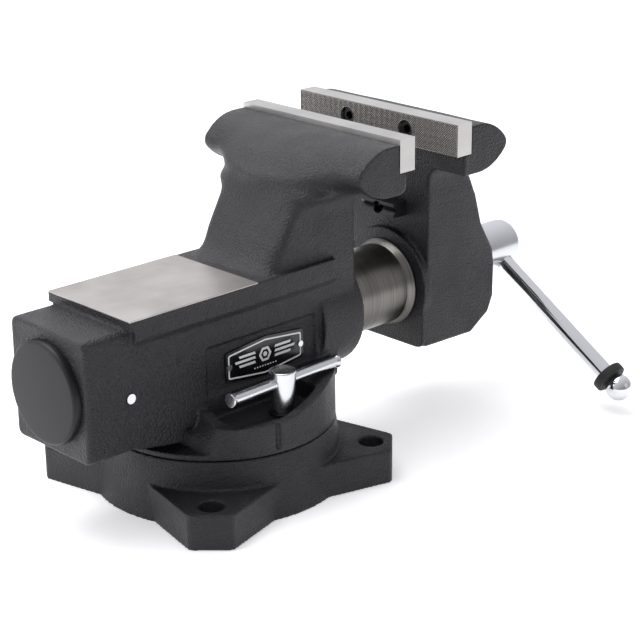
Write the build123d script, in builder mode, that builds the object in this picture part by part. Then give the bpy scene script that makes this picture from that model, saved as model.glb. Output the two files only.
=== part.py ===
from build123d import *
import os
from math import cos, hypot, pi, radians, sin

# A heavy bench vise with a round slide bar, a swivel base, pipe jaws and a ground anvil.
# Millimetres. Origin: centre of the four mounting bolts, on the bottom face of the base.
# +X runs along the screw towards the handle, +Y is the side away from the nameplate, +Z is up.

os.makedirs("parts", exist_ok=True)

# ---------------------------------------------------------------- driving dimensions
JAW_WIDTH = 152.4            # width of the jaw faces
JAW_TOP = 227.6              # height of the top of the jaw faces
JAW_GAP = 40.5               # opening at rest
AXIS_Z = 98.3                # height of the screw axis
GAP = 0.3                    # air between bodies that do not touch
FIT = 0.05                   # radial running fit of a shaft in its bore
SEAT = 0.02                  # radial fit of pieces that are fixed together

INSERT_H = 22.3              # jaw inserts
INSERT_T = 14.2
STATIC_SEAT_X = 95.4         # back face of the static insert
DYNAMIC_SEAT_X = STATIC_SEAT_X + 2 * INSERT_T + JAW_GAP
SEAT_Z = JAW_TOP - INSERT_H  # shelf under the inserts
BAR_TOP = 224.3              # top of the rounded jaw bars
BAR_BOTTOM = 190.4
BAR_NOSE = 36.7              # from the insert seat to the nose of the jaw bar, at its ends
BAR_LIP = 6.4                # shelf in front of the insert seat

BARREL_BACK = -135.2         # rear face of the body
BARREL_HALF = 37.6
BARREL_BOTTOM = 58.3
BARREL_TOP = 138.9
BODY_FRONT = 97.3
BOSS_R = 42.2
ANVIL_BACK = -102.6
ANVIL_HALF = 41.5
ANVIL_TOP = 145.5
LEDGE_BOTTOM = 126.7
LEDGE_END = 71.7
NECK_HALF = 37.6
FLARE_R = 14.0               # sweep from the neck out to the jaw bar

TURNTABLE_R = 78.8
SEAM_Z = 43.0                # joint between base and turntable
FLANGE_TOP = 64.0
BASE_R = 85.2
LUG_T = 24.0
BOLT_X = 70.5                # half the bolt spacing along X
BOLT_Y = 74.2                # half the bolt spacing along Y
BOLT_HOLE_R = 8.25
LUG_TIP = 116.9
LUG_TIP_HALF = 13.8
LUG_ROOT = 60.0
LUG_ROOT_HALF = 48.5
BASE_BODY_R = 81.0
PIVOT_R = 25.0

SLIDE_R = 28.9               # slide bar
SLIDE_BORE = 20.0
SLIDE_BACK = -53.5
COLLAR_R = 32.0
SLIDE_FIT_R = 30.0           # part of the bar that sits in the dynamic jaw
NUT_R = 19.5
NUT_SEAT = -95.0
NUT_BORE_R = 31.0
SCREW_R = 14.0
THREAD_PITCH = 6.35
THREAD_DEPTH = 2.2

DYN_BACK = 159.0             # rear face of the dynamic jaw round the slide bar
DYN_FRONT = 236.0
DYN_HALF = 38.0
HEAD_R = 18.3
HEAD_FRONT = 289.5
HANDLE_X = 274.0
HANDLE_TILT = 32.2           # handle below the horizontal, degrees
HANDLE_R = 6.35
HANDLE_REACH = 149.0         # screw axis to the centre of the outer ball
BALL_R = 9.8
RING_R = 12.2
RING_T = 6.6
RING_OFFSET = 10.9           # ball centre to ring centre

LOCK_X = 3.4
LOCK_Y = 61.0
LOCK_BAR_Z = 82.9
LOCK_TOP = 90.8
LOCK_R = hypot(LOCK_X, LOCK_Y)
LOCK_SHANK_R = 6.0

PIPE_HALF = 16.3             # pipe jaws
PIPE_TOP = 160.5
PIPE_H = 10.5
PIPE_DEPTH = 12.5
PIPE_GROOVE = 3.0            # depth of the V across a pipe jaw

SCREW_HOLE_Y = 28.0          # jaw insert screws
M8_R = 4.0
M8_HEAD_R = 6.4
M8_HEAD_H = 8.0
SCREW_Z = 216.4
M5_R = 2.5
M5_HEAD_R = 4.25
PIPE_Z = PIPE_TOP - PIPE_H / 2
SCREW_AXIS = Axis((0, 0, AXIS_Z), (1, 0, 0))


# ---------------------------------------------------------------- shared shapes
def jaw_bar_section(y, seat_x, back, bulge, lip_r):
    """Section of a jaw bar in XZ at one station along Y.

    back is -1 where the bar lies behind its seat along X. bulge is how far the hood over the
    neck stands out past the plain bar, and the nose drops with it. lip_r rounds the lower front
    corner.
    """
    stretch = (BAR_NOSE - 8.0 + bulge) / (BAR_NOSE - 8.0)
    drop = 0.4 * bulge
    lip_turn = lip_r * (1 - cos(pi / 4))

    def at(depth, z):
        along = depth if depth < 8.0 else 8.0 + (depth - 8.0) * stretch
        return (seat_x + back * along, z)

    with BuildSketch(Plane.XZ.offset(-y)) as section:
        with BuildLine():
            Line(at(0, SEAT_Z), at(0, BAR_TOP))
            Line(at(0, BAR_TOP), at(8.0, BAR_TOP))
            ThreePointArc(at(8.0, BAR_TOP), at(23.5, 221.0 - 0.3 * drop), at(34.2, 212.8 - drop))
            ThreePointArc(at(34.2, 212.8 - drop), at(BAR_NOSE, 207.3 - drop), at(34.2, 202.0 - drop))
            ThreePointArc(at(34.2, 202.0 - drop), at(23.5, 193.9 - 0.7 * drop), at(9.0, BAR_BOTTOM))
            Line(at(9.0, BAR_BOTTOM), at(lip_r - BAR_LIP, BAR_BOTTOM))
            ThreePointArc(
                at(lip_r - BAR_LIP, BAR_BOTTOM),
                at(lip_turn - BAR_LIP, BAR_BOTTOM + lip_turn),
                at(-BAR_LIP, BAR_BOTTOM + lip_r),
            )
            Line(at(-BAR_LIP, BAR_BOTTOM + lip_r), at(-BAR_LIP, SEAT_Z))
            Line(at(-BAR_LIP, SEAT_Z), at(0, SEAT_Z))
        make_face()
    return section.sketch.face()


def jaw_bar_sections(seat_x, back, hood, lip_r):
    """Sections of a jaw bar from end to end; hood lists (y, bulge) from the end to the middle."""
    ends = [(-y, bulge) for y, bulge in hood] + [(y, bulge) for y, bulge in reversed(hood)]
    return [jaw_bar_section(y, seat_x, back, bulge, lip_r) for y, bulge in ends]


def plan_section(z, back, front, half, back_r, front_r):
    """Horizontal section of a jaw neck: a rectangle in plan with rounded rear and front corners."""
    with BuildSketch(Plane.XY.offset(z)) as section:
        with BuildLine():
            for side in (-1, 1):
                turn = 1 - cos(pi / 4)
                Line((back, 0), (back, side * (half - back_r)))
                ThreePointArc(
                    (back, side * (half - back_r)),
                    (back + back_r * turn, side * (half - back_r * turn)),
                    (back + back_r, side * half),
                )
                Line((back + back_r, side * half), (front - front_r, side * half))
                ThreePointArc(
                    (front - front_r, side * half),
                    (front - front_r * turn, side * (half - front_r * turn)),
                    (front, side * (half - front_r)),
                )
                Line((front, side * (half - front_r)), (front, 0))
        make_face()
    return section.sketch.face()


def neck_half(z):
    """Half width of a jaw neck at height z, where its sides sweep out under the jaw bar."""
    sweep = z - (BAR_BOTTOM - FLARE_R)
    return NECK_HALF + FLARE_R - (FLARE_R**2 - sweep**2) ** 0.5


def bore_x(x_from, x_to, radius, mode=Mode.ADD, y=0.0, z=AXIS_Z):
    """Cylinder along X between two stations, as a shaft or (with SUBTRACT) as a bore."""
    with Locations(Location(((x_from + x_to) / 2, y, z), (0, 90, 0))):
        Cylinder(radius, abs(x_to - x_from), mode=mode)


def seat_box(x_from, x_to, half_width, low, high):
    """Cut a machined seat that is centred on the jaw."""
    with Locations(((x_from + x_to) / 2, 0, (low + high) / 2)):
        Box(x_to - x_from, 2 * half_width, high - low, mode=Mode.SUBTRACT)


def rod(origin, direction, start, end, radius, end_radius=None, mode=Mode.ADD):
    """Cylinder or cone between two distances from origin along direction."""
    place = Plane(origin=origin, z_dir=direction).offset((start + end) / 2)
    with Locations(place.location):
        if end_radius is None:
            Cylinder(radius, end - start, mode=mode)
        else:
            Cone(radius, end_radius, end - start, mode=mode)


def lock_site(side):
    """Centre of a lock bolt in plan."""
    return (LOCK_X, side * LOCK_Y)


# ---------------------------------------------------------------- swivel base
T_SLOT_HALF = 6.5
T_SLOT_WIDE = 12.0
T_SLOT_LIP_Z = 32.0
T_SLOT_FLOOR = 20.0
UNDER_Z = 12.0

with BuildPart() as base_casting:
    with BuildSketch(Plane.XZ):
        with BuildLine():
            Polyline((0, 0), (BASE_R, 0), (TURNTABLE_R, SEAM_Z - GAP), (0, SEAM_Z - GAP), close=True)
        make_face()
    revolve(axis=Axis.Z)
    with BuildSketch():
        Circle(BASE_BODY_R)
        for x_side, y_side in ((1, 1), (-1, 1), (-1, -1), (1, -1)):
            towards = Vector(x_side * BOLT_X, y_side * BOLT_Y).normalized()
            across = Vector(-towards.Y, towards.X)
            root = towards * LUG_ROOT
            tip = towards * LUG_TIP
            with BuildLine():
                Polyline(
                    (0, 0), root - across * LUG_ROOT_HALF, tip - across * LUG_TIP_HALF,
                    tip + across * LUG_TIP_HALF, root + across * LUG_ROOT_HALF, close=True,
                )
            make_face()
        fillet([v for v in vertices() if hypot(v.X, v.Y) > LUG_TIP - 1], 5.0)
        fillet([v for v in vertices() if abs(hypot(v.X, v.Y) - BASE_BODY_R) < 0.5], 26.0)
    extrude(amount=LUG_T)
    with BuildSketch(Plane.XZ):
        with BuildLine():
            Polyline(
                (LOCK_R - T_SLOT_HALF, SEAM_Z), (LOCK_R + T_SLOT_HALF, SEAM_Z),
                (LOCK_R + T_SLOT_HALF, T_SLOT_LIP_Z), (LOCK_R + T_SLOT_WIDE, T_SLOT_LIP_Z),
                (LOCK_R + T_SLOT_WIDE, T_SLOT_FLOOR), (LOCK_R - T_SLOT_WIDE, T_SLOT_FLOOR),
                (LOCK_R - T_SLOT_WIDE, T_SLOT_LIP_Z), (LOCK_R - T_SLOT_HALF, T_SLOT_LIP_Z), close=True,
            )
        make_face()
    revolve(axis=Axis.Z, mode=Mode.SUBTRACT)
    with BuildSketch(Plane.XZ):
        with Locations((58.0, UNDER_Z / 2)):
            Rectangle(36.0, UNDER_Z)
    revolve(axis=Axis.Z, mode=Mode.SUBTRACT)
    with BuildSketch():
        Circle(PIVOT_R + FIT)
    extrude(amount=SEAM_Z, mode=Mode.SUBTRACT)
    with BuildSketch():
        Circle(33.0)
    extrude(amount=30.0 + GAP, mode=Mode.SUBTRACT)
    with BuildSketch(Plane.XY):
        with Locations((LOCK_R, 0), (-LOCK_R, 0)):
            Circle(14.0)
    extrude(amount=T_SLOT_FLOOR + 1, mode=Mode.SUBTRACT)
    with BuildSketch():
        with GridLocations(2 * BOLT_X, 2 * BOLT_Y, 2, 2):
            Circle(BOLT_HOLE_R)
    extrude(amount=LUG_T + 1, mode=Mode.SUBTRACT)
base_casting.part.label = "base_casting"
export_step(base_casting.part, "parts/base_casting.step")


# ---------------------------------------------------------------- static jaw and body
COLUMN_FRONT = 96.5
COLUMN = (                    # height, rear face, half width, rear corner radius
    (145.0, 7.0, NECK_HALF, 12.0), (148.5, 13.5, NECK_HALF, 12.0), (157.0, 21.0, NECK_HALF, 9.0),
    (168.0, 27.5, NECK_HALF, 7.0), (176.5, 32.3, NECK_HALF, 7.0), (182.0, 35.0, neck_half(182.0), 9.0),
    (187.0, 37.0, neck_half(187.0), 14.0), (190.0, 37.6, neck_half(190.0), 18.0), (195.0, 38.6, 50.0, 24.0),
    (200.0, 41.0, 46.0, 28.0),
)
STATIC_HOOD = ((76.2, 0.0), (62.0, 2.0), (48.0, 8.5), (34.0, 16.5), (18.0, 21.0))   # y, bulge
PANEL = (-40.0, 55.3, 77.0, 110.0)   # recessed side panels, X and Z limits
PANEL_DEPTH = 2.0
WALL_TOP = 77.0                      # raised front of the turntable
WALL_INNER_R = 71.5
WALL_SOLID_X = 28.0
POCKET_BACK_X = -38.0
POCKET_Z = 61.0                      # floor round the lock bolts
FLANGE_FLOOR = 47.0                  # the full disc under the cut-off rear of the turntable
PIN_X = -100.7
PIN_Z = 94.0
PIN_R = 3.25
KEY_X = 87.0
KEY_R = 6.0

with BuildPart() as turntable_flange:
    with BuildSketch(Plane.XY.offset(FLANGE_FLOOR)):
        Circle(TURNTABLE_R)
    extrude(amount=WALL_TOP - FLANGE_FLOOR)
    # the top is level behind the lock bolts and ramps up to the raised front wall
    with BuildSketch(Plane.XZ.offset(TURNTABLE_R + 1)):
        with BuildLine():
            Polyline((-90, FLANGE_TOP), (-8, FLANGE_TOP), (38, WALL_TOP), (38, 90), (-90, 90), close=True)
        make_face()
    extrude(amount=-2 * (TURNTABLE_R + 1), mode=Mode.SUBTRACT)
    # sloping rear wall, its corners rounded into the rim
    with BuildSketch(Plane.XZ.offset(TURNTABLE_R + 1)):
        with BuildLine():
            Polyline((-90, 46), (-55.85, 46), (-49.15, 65), (-90, 65), close=True)
        make_face()
    extrude(amount=-2 * (TURNTABLE_R + 1), mode=Mode.SUBTRACT)
    wall_ends = [e for e in edges() if e.center().X < -48 and abs(e.center().Y) > 52 and e.length > 12]
    fillet([e for e in wall_ends if abs((e @ 0).Z - (e @ 1).Z) > 10], 16.0)
    # floor round the lock bolts
    with BuildSketch(Plane.XY.offset(POCKET_Z)):
        Circle(WALL_INNER_R)
        with Locations(((WALL_SOLID_X + POCKET_BACK_X) / 2, 0)):
            Rectangle(WALL_SOLID_X - POCKET_BACK_X, 2 * TURNTABLE_R, mode=Mode.INTERSECT)
        fillet([v for v in vertices() if abs(v.Y) > 30], 4.0)
    extrude(amount=20.0, mode=Mode.SUBTRACT)

with BuildPart() as static_jaw_casting:
    # barrel block, slightly hollow underneath where it runs into the turntable
    with BuildSketch(Plane.YZ.offset(BARREL_BACK)):
        with Locations((0, (BARREL_TOP + BARREL_BOTTOM) / 2)):
            RectangleRounded(2 * BARREL_HALF, BARREL_TOP - BARREL_BOTTOM, 5.0)
    extrude(amount=BODY_FRONT - 21.0 - BARREL_BACK)
    fillet(static_jaw_casting.faces().sort_by(Axis.X)[0].edges(), 2.5)
    # anvil and its ledges
    with BuildSketch(Plane.YZ.offset(ANVIL_BACK + 4)):
        with BuildLine():
            Polyline(
                (0, 110), (-BARREL_HALF, 110), (-BARREL_HALF, LEDGE_BOTTOM), (-ANVIL_HALF, LEDGE_BOTTOM + 5),
                (-ANVIL_HALF, ANVIL_TOP), (ANVIL_HALF, ANVIL_TOP), (ANVIL_HALF, LEDGE_BOTTOM + 5),
                (BARREL_HALF, LEDGE_BOTTOM), (BARREL_HALF, 110), close=True,
            )
        make_face()
    extrude(amount=LEDGE_END - ANVIL_BACK - 4)
    with BuildSketch(Plane.XY.offset(BARREL_TOP - 1)):
        with Locations((ANVIL_BACK + 4, 0)):
            Rectangle(8, 2 * ANVIL_HALF)
    extrude(amount=ANVIL_TOP - BARREL_TOP + 1)
    # front boss round the slide bar
    with BuildSketch(Plane.YZ.offset(60.0)):
        with Locations((0, AXIS_Z)):
            Circle(BOSS_R)
    extrude(amount=BODY_FRONT - 60.0)
    # column under the jaw
    with BuildSketch(Plane.XY.offset(AXIS_Z)):
        with Locations(((40.0 + COLUMN_FRONT) / 2, 0)):
            Rectangle(COLUMN_FRONT - 40.0, 2 * NECK_HALF)
        column_front = [v for v in vertices() if v.X > COLUMN_FRONT - 1]
        fillet(column_front, 8.5)
    extrude(amount=ANVIL_TOP - AXIS_Z + 1)
    loft(sections=[plan_section(z, back, COLUMN_FRONT, half, r, 8.5) for z, back, half, r in COLUMN])
    # jaw bar with the hood that runs down into the column, and the shelf for the insert
    loft(sections=jaw_bar_sections(STATIC_SEAT_X, -1, STATIC_HOOD, 6.0))
    # belly of the barrel just behind the turntable
    with BuildSketch(Plane.XZ.offset(BARREL_HALF)):
        with BuildLine():
            Polyline((-100, BARREL_BOTTOM + 3), (-97, BARREL_BOTTOM), (-66, 53.0), (-61, 53.0), (-58, 62), close=True)
        make_face()
    extrude(amount=-2 * BARREL_HALF)
    # turntable with its raised front wall, and the pivot spigot
    with BuildSketch(Plane.XY.offset(SEAM_Z)):
        Circle(TURNTABLE_R)
    extrude(amount=FLANGE_FLOOR - SEAM_Z)
    add(turntable_flange.part)
    for side in (-1, 1):
        with BuildSketch(Plane.YZ.offset(-48.5)):
            with BuildLine():
                Polyline(
                    (side * 36, FLANGE_TOP - 2), (side * 36, 70.5), (side * 41, 70.0),
                    (side * 54, FLANGE_TOP), (side * 54, FLANGE_TOP - 2), close=True,
                )
            make_face()
        extrude(amount=8.0)
    with BuildSketch(Plane.XY.offset(SEAM_Z - 12.0)):
        Circle(PIVOT_R)
    extrude(amount=12.0)
    # bores along the screw axis
    bore_x(BARREL_BACK - 1, BODY_FRONT + 1, SLIDE_R + FIT, Mode.SUBTRACT)
    bore_x(BARREL_BACK - 1, NUT_SEAT, NUT_BORE_R, Mode.SUBTRACT)
    # side panels, nut pin holes, lock bolt holes
    for side in (-1, 1):
        with BuildSketch(Plane.XZ.offset(-side * BARREL_HALF)):
            with Locations(((PANEL[0] + PANEL[1]) / 2, (PANEL[2] + PANEL[3]) / 2)):
                RectangleRounded(PANEL[1] - PANEL[0], PANEL[3] - PANEL[2], 1.5)
        extrude(amount=side * PANEL_DEPTH, mode=Mode.SUBTRACT)
        with Locations((*lock_site(side), (SEAM_Z + FLANGE_TOP) / 2)):
            Cylinder(LOCK_SHANK_R, FLANGE_TOP - SEAM_Z + 4, mode=Mode.SUBTRACT)
        with BuildSketch(Plane(origin=(0, 0, FLANGE_FLOOR - 1), x_dir=(-15.5, side * 77.3, 0))):
            with BuildLine():
                Polyline(
                    (TURNTABLE_R - 2.5, 0), (TURNTABLE_R + 1, 3.0), (TURNTABLE_R + 1, -3.0), close=True,
                )
            make_face()
        extrude(amount=FLANGE_TOP - FLANGE_FLOOR + 12, mode=Mode.SUBTRACT)
    with Locations((KEY_X, 0, 62.0)):
        Cylinder(KEY_R + SEAT, 20.0, mode=Mode.SUBTRACT)
    with Locations(Location((PIN_X, 0, PIN_Z), (90, 0, 0))):
        Cylinder(PIN_R + SEAT, 2 * BARREL_HALF + 2, mode=Mode.SUBTRACT)
    # machined seats and tapped holes for the insert and the pipe jaw
    seat_box(STATIC_SEAT_X, STATIC_SEAT_X + 6, JAW_WIDTH / 2 + 1, SEAT_Z, JAW_TOP + 5)
    seat_box(COLUMN_FRONT, COLUMN_FRONT + 6, PIPE_HALF + SEAT, PIPE_TOP - PIPE_H - SEAT, PIPE_TOP + 1)
    for y in (-SCREW_HOLE_Y, SCREW_HOLE_Y):
        bore_x(STATIC_SEAT_X - 20, STATIC_SEAT_X + 1, M8_R + SEAT, Mode.SUBTRACT, y, SCREW_Z)
    bore_x(COLUMN_FRONT - 16, COLUMN_FRONT + 1, M5_R + SEAT, Mode.SUBTRACT, 0, PIPE_Z)
static_jaw_casting.part.label = "static_jaw_casting"
export_step(static_jaw_casting.part, "parts/static_jaw_casting.step")

# ---------------------------------------------------------------- pieces fixed to the body
with BuildPart() as static_jaw_insert:
    with Locations((STATIC_SEAT_X + INSERT_T / 2, 0, SEAT_Z + INSERT_H / 2)):
        Box(INSERT_T, JAW_WIDTH, INSERT_H)
    chamfer(static_jaw_insert.faces().sort_by(Axis.X)[-1].edges(), 0.5)
    for y in (-SCREW_HOLE_Y, SCREW_HOLE_Y):
        bore_x(STATIC_SEAT_X - 1, STATIC_SEAT_X + INSERT_T + 1, M8_R + 0.4, Mode.SUBTRACT, y, SCREW_Z)
        bore_x(STATIC_SEAT_X + 5, STATIC_SEAT_X + INSERT_T + 1, M8_HEAD_R + 0.1, Mode.SUBTRACT, y, SCREW_Z)
static_jaw_insert.part.label = "static_jaw_insert"
export_step(static_jaw_insert.part, "parts/static_jaw_insert.step")


def cap_screw(seat, facing, length, shank_r, head_r, head_h, y, z):
    """Socket head cap screw along X: seat is under the head, facing +1 has its head towards +X."""
    bore_x(seat - facing * length, seat, shank_r, Mode.ADD, y, z)
    bore_x(seat, seat + facing * head_h, head_r, Mode.ADD, y, z)
    bore_x(seat + facing * head_h * 0.4, seat + facing * (head_h + 1), head_r * 0.48, Mode.SUBTRACT, y, z)


with BuildPart() as static_jaw_screws:
    for y in (-SCREW_HOLE_Y, SCREW_HOLE_Y):
        cap_screw(STATIC_SEAT_X + 5, 1, 24.0, M8_R, M8_HEAD_R, M8_HEAD_H - 1, y, SCREW_Z)
static_jaw_screws.part.label = "static_jaw_screws"
export_step(static_jaw_screws.part, "parts/static_jaw_screws.step")


def pipe_jaw_profile(seat, facing):
    """Outline in XZ of a pipe jaw with its horizontal V groove; seat is its back face."""
    nose = seat + facing * PIPE_DEPTH
    apex = seat + facing * (PIPE_DEPTH - PIPE_GROOVE)
    low = PIPE_TOP - PIPE_H
    land = 2.4
    with BuildLine() as outline:
        Polyline(
            (seat, low), (nose, low), (nose, low + land), (apex, PIPE_Z), (nose, PIPE_TOP - land),
            (nose, PIPE_TOP), (seat, PIPE_TOP), close=True,
        )
    return outline.line


with BuildPart() as static_pipe_jaw:
    with BuildSketch(Plane.XZ.offset(PIPE_HALF)):
        with BuildLine():
            add(pipe_jaw_profile(COLUMN_FRONT, 1))
        make_face()
    extrude(amount=-2 * PIPE_HALF)
    bore_x(COLUMN_FRONT - 1, COLUMN_FRONT + 14, M5_R + 0.3, Mode.SUBTRACT, 0, PIPE_Z)
    bore_x(COLUMN_FRONT + 3.5, COLUMN_FRONT + 14, M5_HEAD_R + 0.2, Mode.SUBTRACT, 0, PIPE_Z)
static_pipe_jaw.part.label = "static_pipe_jaw"
export_step(static_pipe_jaw.part, "parts/static_pipe_jaw.step")

with BuildPart() as static_pipe_jaw_screw:
    cap_screw(COLUMN_FRONT + 3.5, 1, 16.0, M5_R, M5_HEAD_R, 4.5, 0, PIPE_Z)
static_pipe_jaw_screw.part.label = "static_pipe_jaw_screw"
export_step(static_pipe_jaw_screw.part, "parts/static_pipe_jaw_screw.step")

CAP_R = 33.5
CAP_BACK = -141.7
with BuildPart() as end_cap:
    bore_x(CAP_BACK, BARREL_BACK, CAP_R)
    fillet(end_cap.faces().sort_by(Axis.X)[0].edges(), 3.5)
    bore_x(BARREL_BACK, BARREL_BACK + 10, NUT_BORE_R - 0.08)
end_cap.part.label = "end_cap"
export_step(end_cap.part, "parts/end_cap.step")

NUT_FLANGE_R = 30.9
with BuildPart() as lead_nut:
    bore_x(-124.0, NUT_SEAT, NUT_FLANGE_R)
    bore_x(NUT_SEAT, 50.0, NUT_R)
    bore_x(-125.0, 51.0, SCREW_R, Mode.SUBTRACT)
    bore_x(-125.0, 0.0, SCREW_R + 1.2, Mode.SUBTRACT)
    with Locations(Location((PIN_X, 0, PIN_Z), (90, 0, 0))):
        Cylinder(PIN_R + SEAT, 2 * BARREL_HALF + 2, mode=Mode.SUBTRACT)
lead_nut.part.label = "lead_nut"
export_step(lead_nut.part, "parts/lead_nut.step")

with BuildPart() as nut_pins:
    for side in (-1, 1):
        with Locations(Location((PIN_X, side * (19.0 + BARREL_HALF) / 2, PIN_Z), (90, 0, 0))):
            Cylinder(PIN_R, BARREL_HALF - 19.0)
nut_pins.part.label = "nut_pins"
export_step(nut_pins.part, "parts/nut_pins.step")

KEY_TIP = 74.1
with BuildPart() as slide_key:
    with Locations((KEY_X, 0, 63.2)):
        Cylinder(KEY_R, 11.6)
    with Locations((KEY_X, 0, (69.0 + KEY_TIP) / 2)):
        Cylinder(5.0, KEY_TIP - 69.0)
    with BuildSketch(Plane.XY.offset(57.0)):
        with Locations((KEY_X, 0)):
            RegularPolygon(3.4, 6)
    extrude(amount=6.0, mode=Mode.SUBTRACT)
slide_key.part.label = "slide_key"
export_step(slide_key.part, "parts/slide_key.step")

PLATE_T = 1.2
PLATE_MID_X = 10.3
PLATE_HALF = 33.8
PLATE_END = (82.0, 101.9)
PLATE_PEAK = (78.0, 105.4)
PANEL_FLOOR = BARREL_HALF - PANEL_DEPTH
with BuildPart() as nameplate:
    with BuildSketch(Plane.XZ.offset(PANEL_FLOOR)):
        with BuildLine():
            Polyline(
                (PLATE_MID_X - PLATE_HALF, PLATE_END[0]), (PLATE_MID_X, PLATE_PEAK[0]),
                (PLATE_MID_X + PLATE_HALF, PLATE_END[0]), (PLATE_MID_X + PLATE_HALF, PLATE_END[1]),
                (PLATE_MID_X, PLATE_PEAK[1]), (PLATE_MID_X - PLATE_HALF, PLATE_END[1]), close=True,
            )
        make_face()
    extrude(amount=PLATE_T)
    with Locations(Location((PLATE_MID_X - 31.2, -PANEL_FLOOR, 92.0), (90, 0, 0)),
                   Location((PLATE_MID_X + 31.2, -PANEL_FLOOR, 92.0), (90, 0, 0))):
        Cylinder(1.3, 8.0, mode=Mode.SUBTRACT)
nameplate.part.label = "nameplate"
export_step(nameplate.part, "parts/nameplate.step")

with BuildPart() as nameplate_rivets:
    for x in (PLATE_MID_X - 31.2, PLATE_MID_X + 31.2):
        with Locations(Location((x, -PANEL_FLOOR - PLATE_T / 2, 92.0), (90, 0, 0))):
            Cylinder(1.28, PLATE_T)
        with Locations(Location((x, -PANEL_FLOOR - PLATE_T - 0.4, 92.0), (90, 0, 0))):
            Cylinder(2.1, 0.8)
nameplate_rivets.part.label = "nameplate_rivets"
export_step(nameplate_rivets.part, "parts/nameplate_rivets.step")

SHOE_ARC = 7.0
with BuildPart() as clamp_shoes:
    for side in (-1, 1):
        centre = 90.0 if side > 0 else 270.0
        centre = centre - side * 3.75
        with BuildSketch(Plane.XY.offset(T_SLOT_FLOOR + 0.5)):
            with BuildLine():
                inner = LOCK_R - T_SLOT_WIDE + 1.4
                outer = LOCK_R + T_SLOT_WIDE - 1.4
                first = CenterArc((0, 0), inner, centre - SHOE_ARC, 2 * SHOE_ARC)
                second = CenterArc((0, 0), outer, centre - SHOE_ARC, 2 * SHOE_ARC)
                Line(first @ 0, second @ 0)
                Line(first @ 1, second @ 1)
            make_face()
        extrude(amount=T_SLOT_LIP_Z - T_SLOT_FLOOR - 1)
        with Locations((*lock_site(side), 26.0)):
            Cylinder(LOCK_SHANK_R, 20.0, mode=Mode.SUBTRACT)
clamp_shoes.part.label = "clamp_shoes"
export_step(clamp_shoes.part, "parts/clamp_shoes.step")

WASHER_T = 2.0
with BuildPart() as lock_washers:
    for side in (-1, 1):
        with Locations((*lock_site(side), POCKET_Z + WASHER_T / 2)):
            Cylinder(9.5, WASHER_T)
            Cylinder(LOCK_SHANK_R + 0.3, WASHER_T, mode=Mode.SUBTRACT)
lock_washers.part.label = "lock_washers"
export_step(lock_washers.part, "parts/lock_washers.step")

# ---------------------------------------------------------------- swivel lock bolts and their bars
LOCK_TILT = 1.4               # lock bars lie a little off the X direction, degrees
LOCK_BAR_R = 3.6
LOCK_STOP_R = 4.8
LOCK_BAR_BACK = -46.2
LOCK_BAR_FRONT = 49.8
LOCK_HEAD_Z = POCKET_Z + WASHER_T + GAP


def lock_direction(side):
    """Unit direction of a lock bar."""
    return (cos(radians(LOCK_TILT)), -side * sin(radians(LOCK_TILT)), 0)


def lock_bolt(side):
    """Add a tapered clamp bolt with a cross hole for its bar."""
    foot = (*lock_site(side), 0)
    rod(foot, (0, 0, 1), LOCK_HEAD_Z, LOCK_TOP - 0.8, 7.2, 9.0)
    rod(foot, (0, 0, 1), LOCK_TOP - 0.8, LOCK_TOP, 9.0, 8.2)
    rod(foot, (0, 0, 1), T_SLOT_FLOOR + 0.5, LOCK_HEAD_Z, LOCK_SHANK_R - FIT)
    rod((*lock_site(side), LOCK_BAR_Z), lock_direction(side), -15, 15, LOCK_BAR_R + FIT, mode=Mode.SUBTRACT)


def lock_bar(side):
    """Add a sliding bar with a flared stop at each end."""
    centre = (*lock_site(side), LOCK_BAR_Z)
    along = lock_direction(side)
    rod(centre, along, LOCK_BAR_BACK, LOCK_BAR_BACK + 3.2, LOCK_STOP_R, LOCK_BAR_R)
    rod(centre, along, LOCK_BAR_BACK + 3.2, LOCK_BAR_FRONT - 3.2, LOCK_BAR_R)
    rod(centre, along, LOCK_BAR_FRONT - 3.2, LOCK_BAR_FRONT, LOCK_BAR_R, LOCK_STOP_R)


with BuildPart() as lock_bolt_near:
    lock_bolt(-1)
lock_bolt_near.part.label = "lock_bolt_near"
export_step(lock_bolt_near.part, "parts/lock_bolt_near.step")

with BuildPart() as lock_bolt_far:
    lock_bolt(1)
lock_bolt_far.part.label = "lock_bolt_far"
export_step(lock_bolt_far.part, "parts/lock_bolt_far.step")

with BuildPart() as lock_bar_near:
    lock_bar(-1)
lock_bar_near.part.label = "lock_bar_near"
export_step(lock_bar_near.part, "parts/lock_bar_near.step")

with BuildPart() as lock_bar_far:
    lock_bar(1)
lock_bar_far.part.label = "lock_bar_far"
export_step(lock_bar_far.part, "parts/lock_bar_far.step")

# ---------------------------------------------------------------- dynamic jaw
NECK_BACK = 164.0
NECK = (                      # height, front face, half width, front corner radius
    (156.0, 215.7, DYN_HALF, 3.0), (162.0, 213.8, DYN_HALF, 4.0), (168.0, 211.7, DYN_HALF, 5.0),
    (176.5, 208.9, DYN_HALF, 8.0), (182.0, 207.3, 39.0, 12.0), (187.0, 206.5, 42.6, 17.0),
    (190.0, 206.0, 48.3, 21.0), (195.0, 205.0, 50.0, 24.0), (200.0, 203.0, 46.0, 25.0),
)
DYNAMIC_HOOD = ((76.2, 0.0), (62.0, 0.5), (48.0, 2.0), (34.0, 4.0), (18.0, 5.0))   # y, bulge

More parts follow.
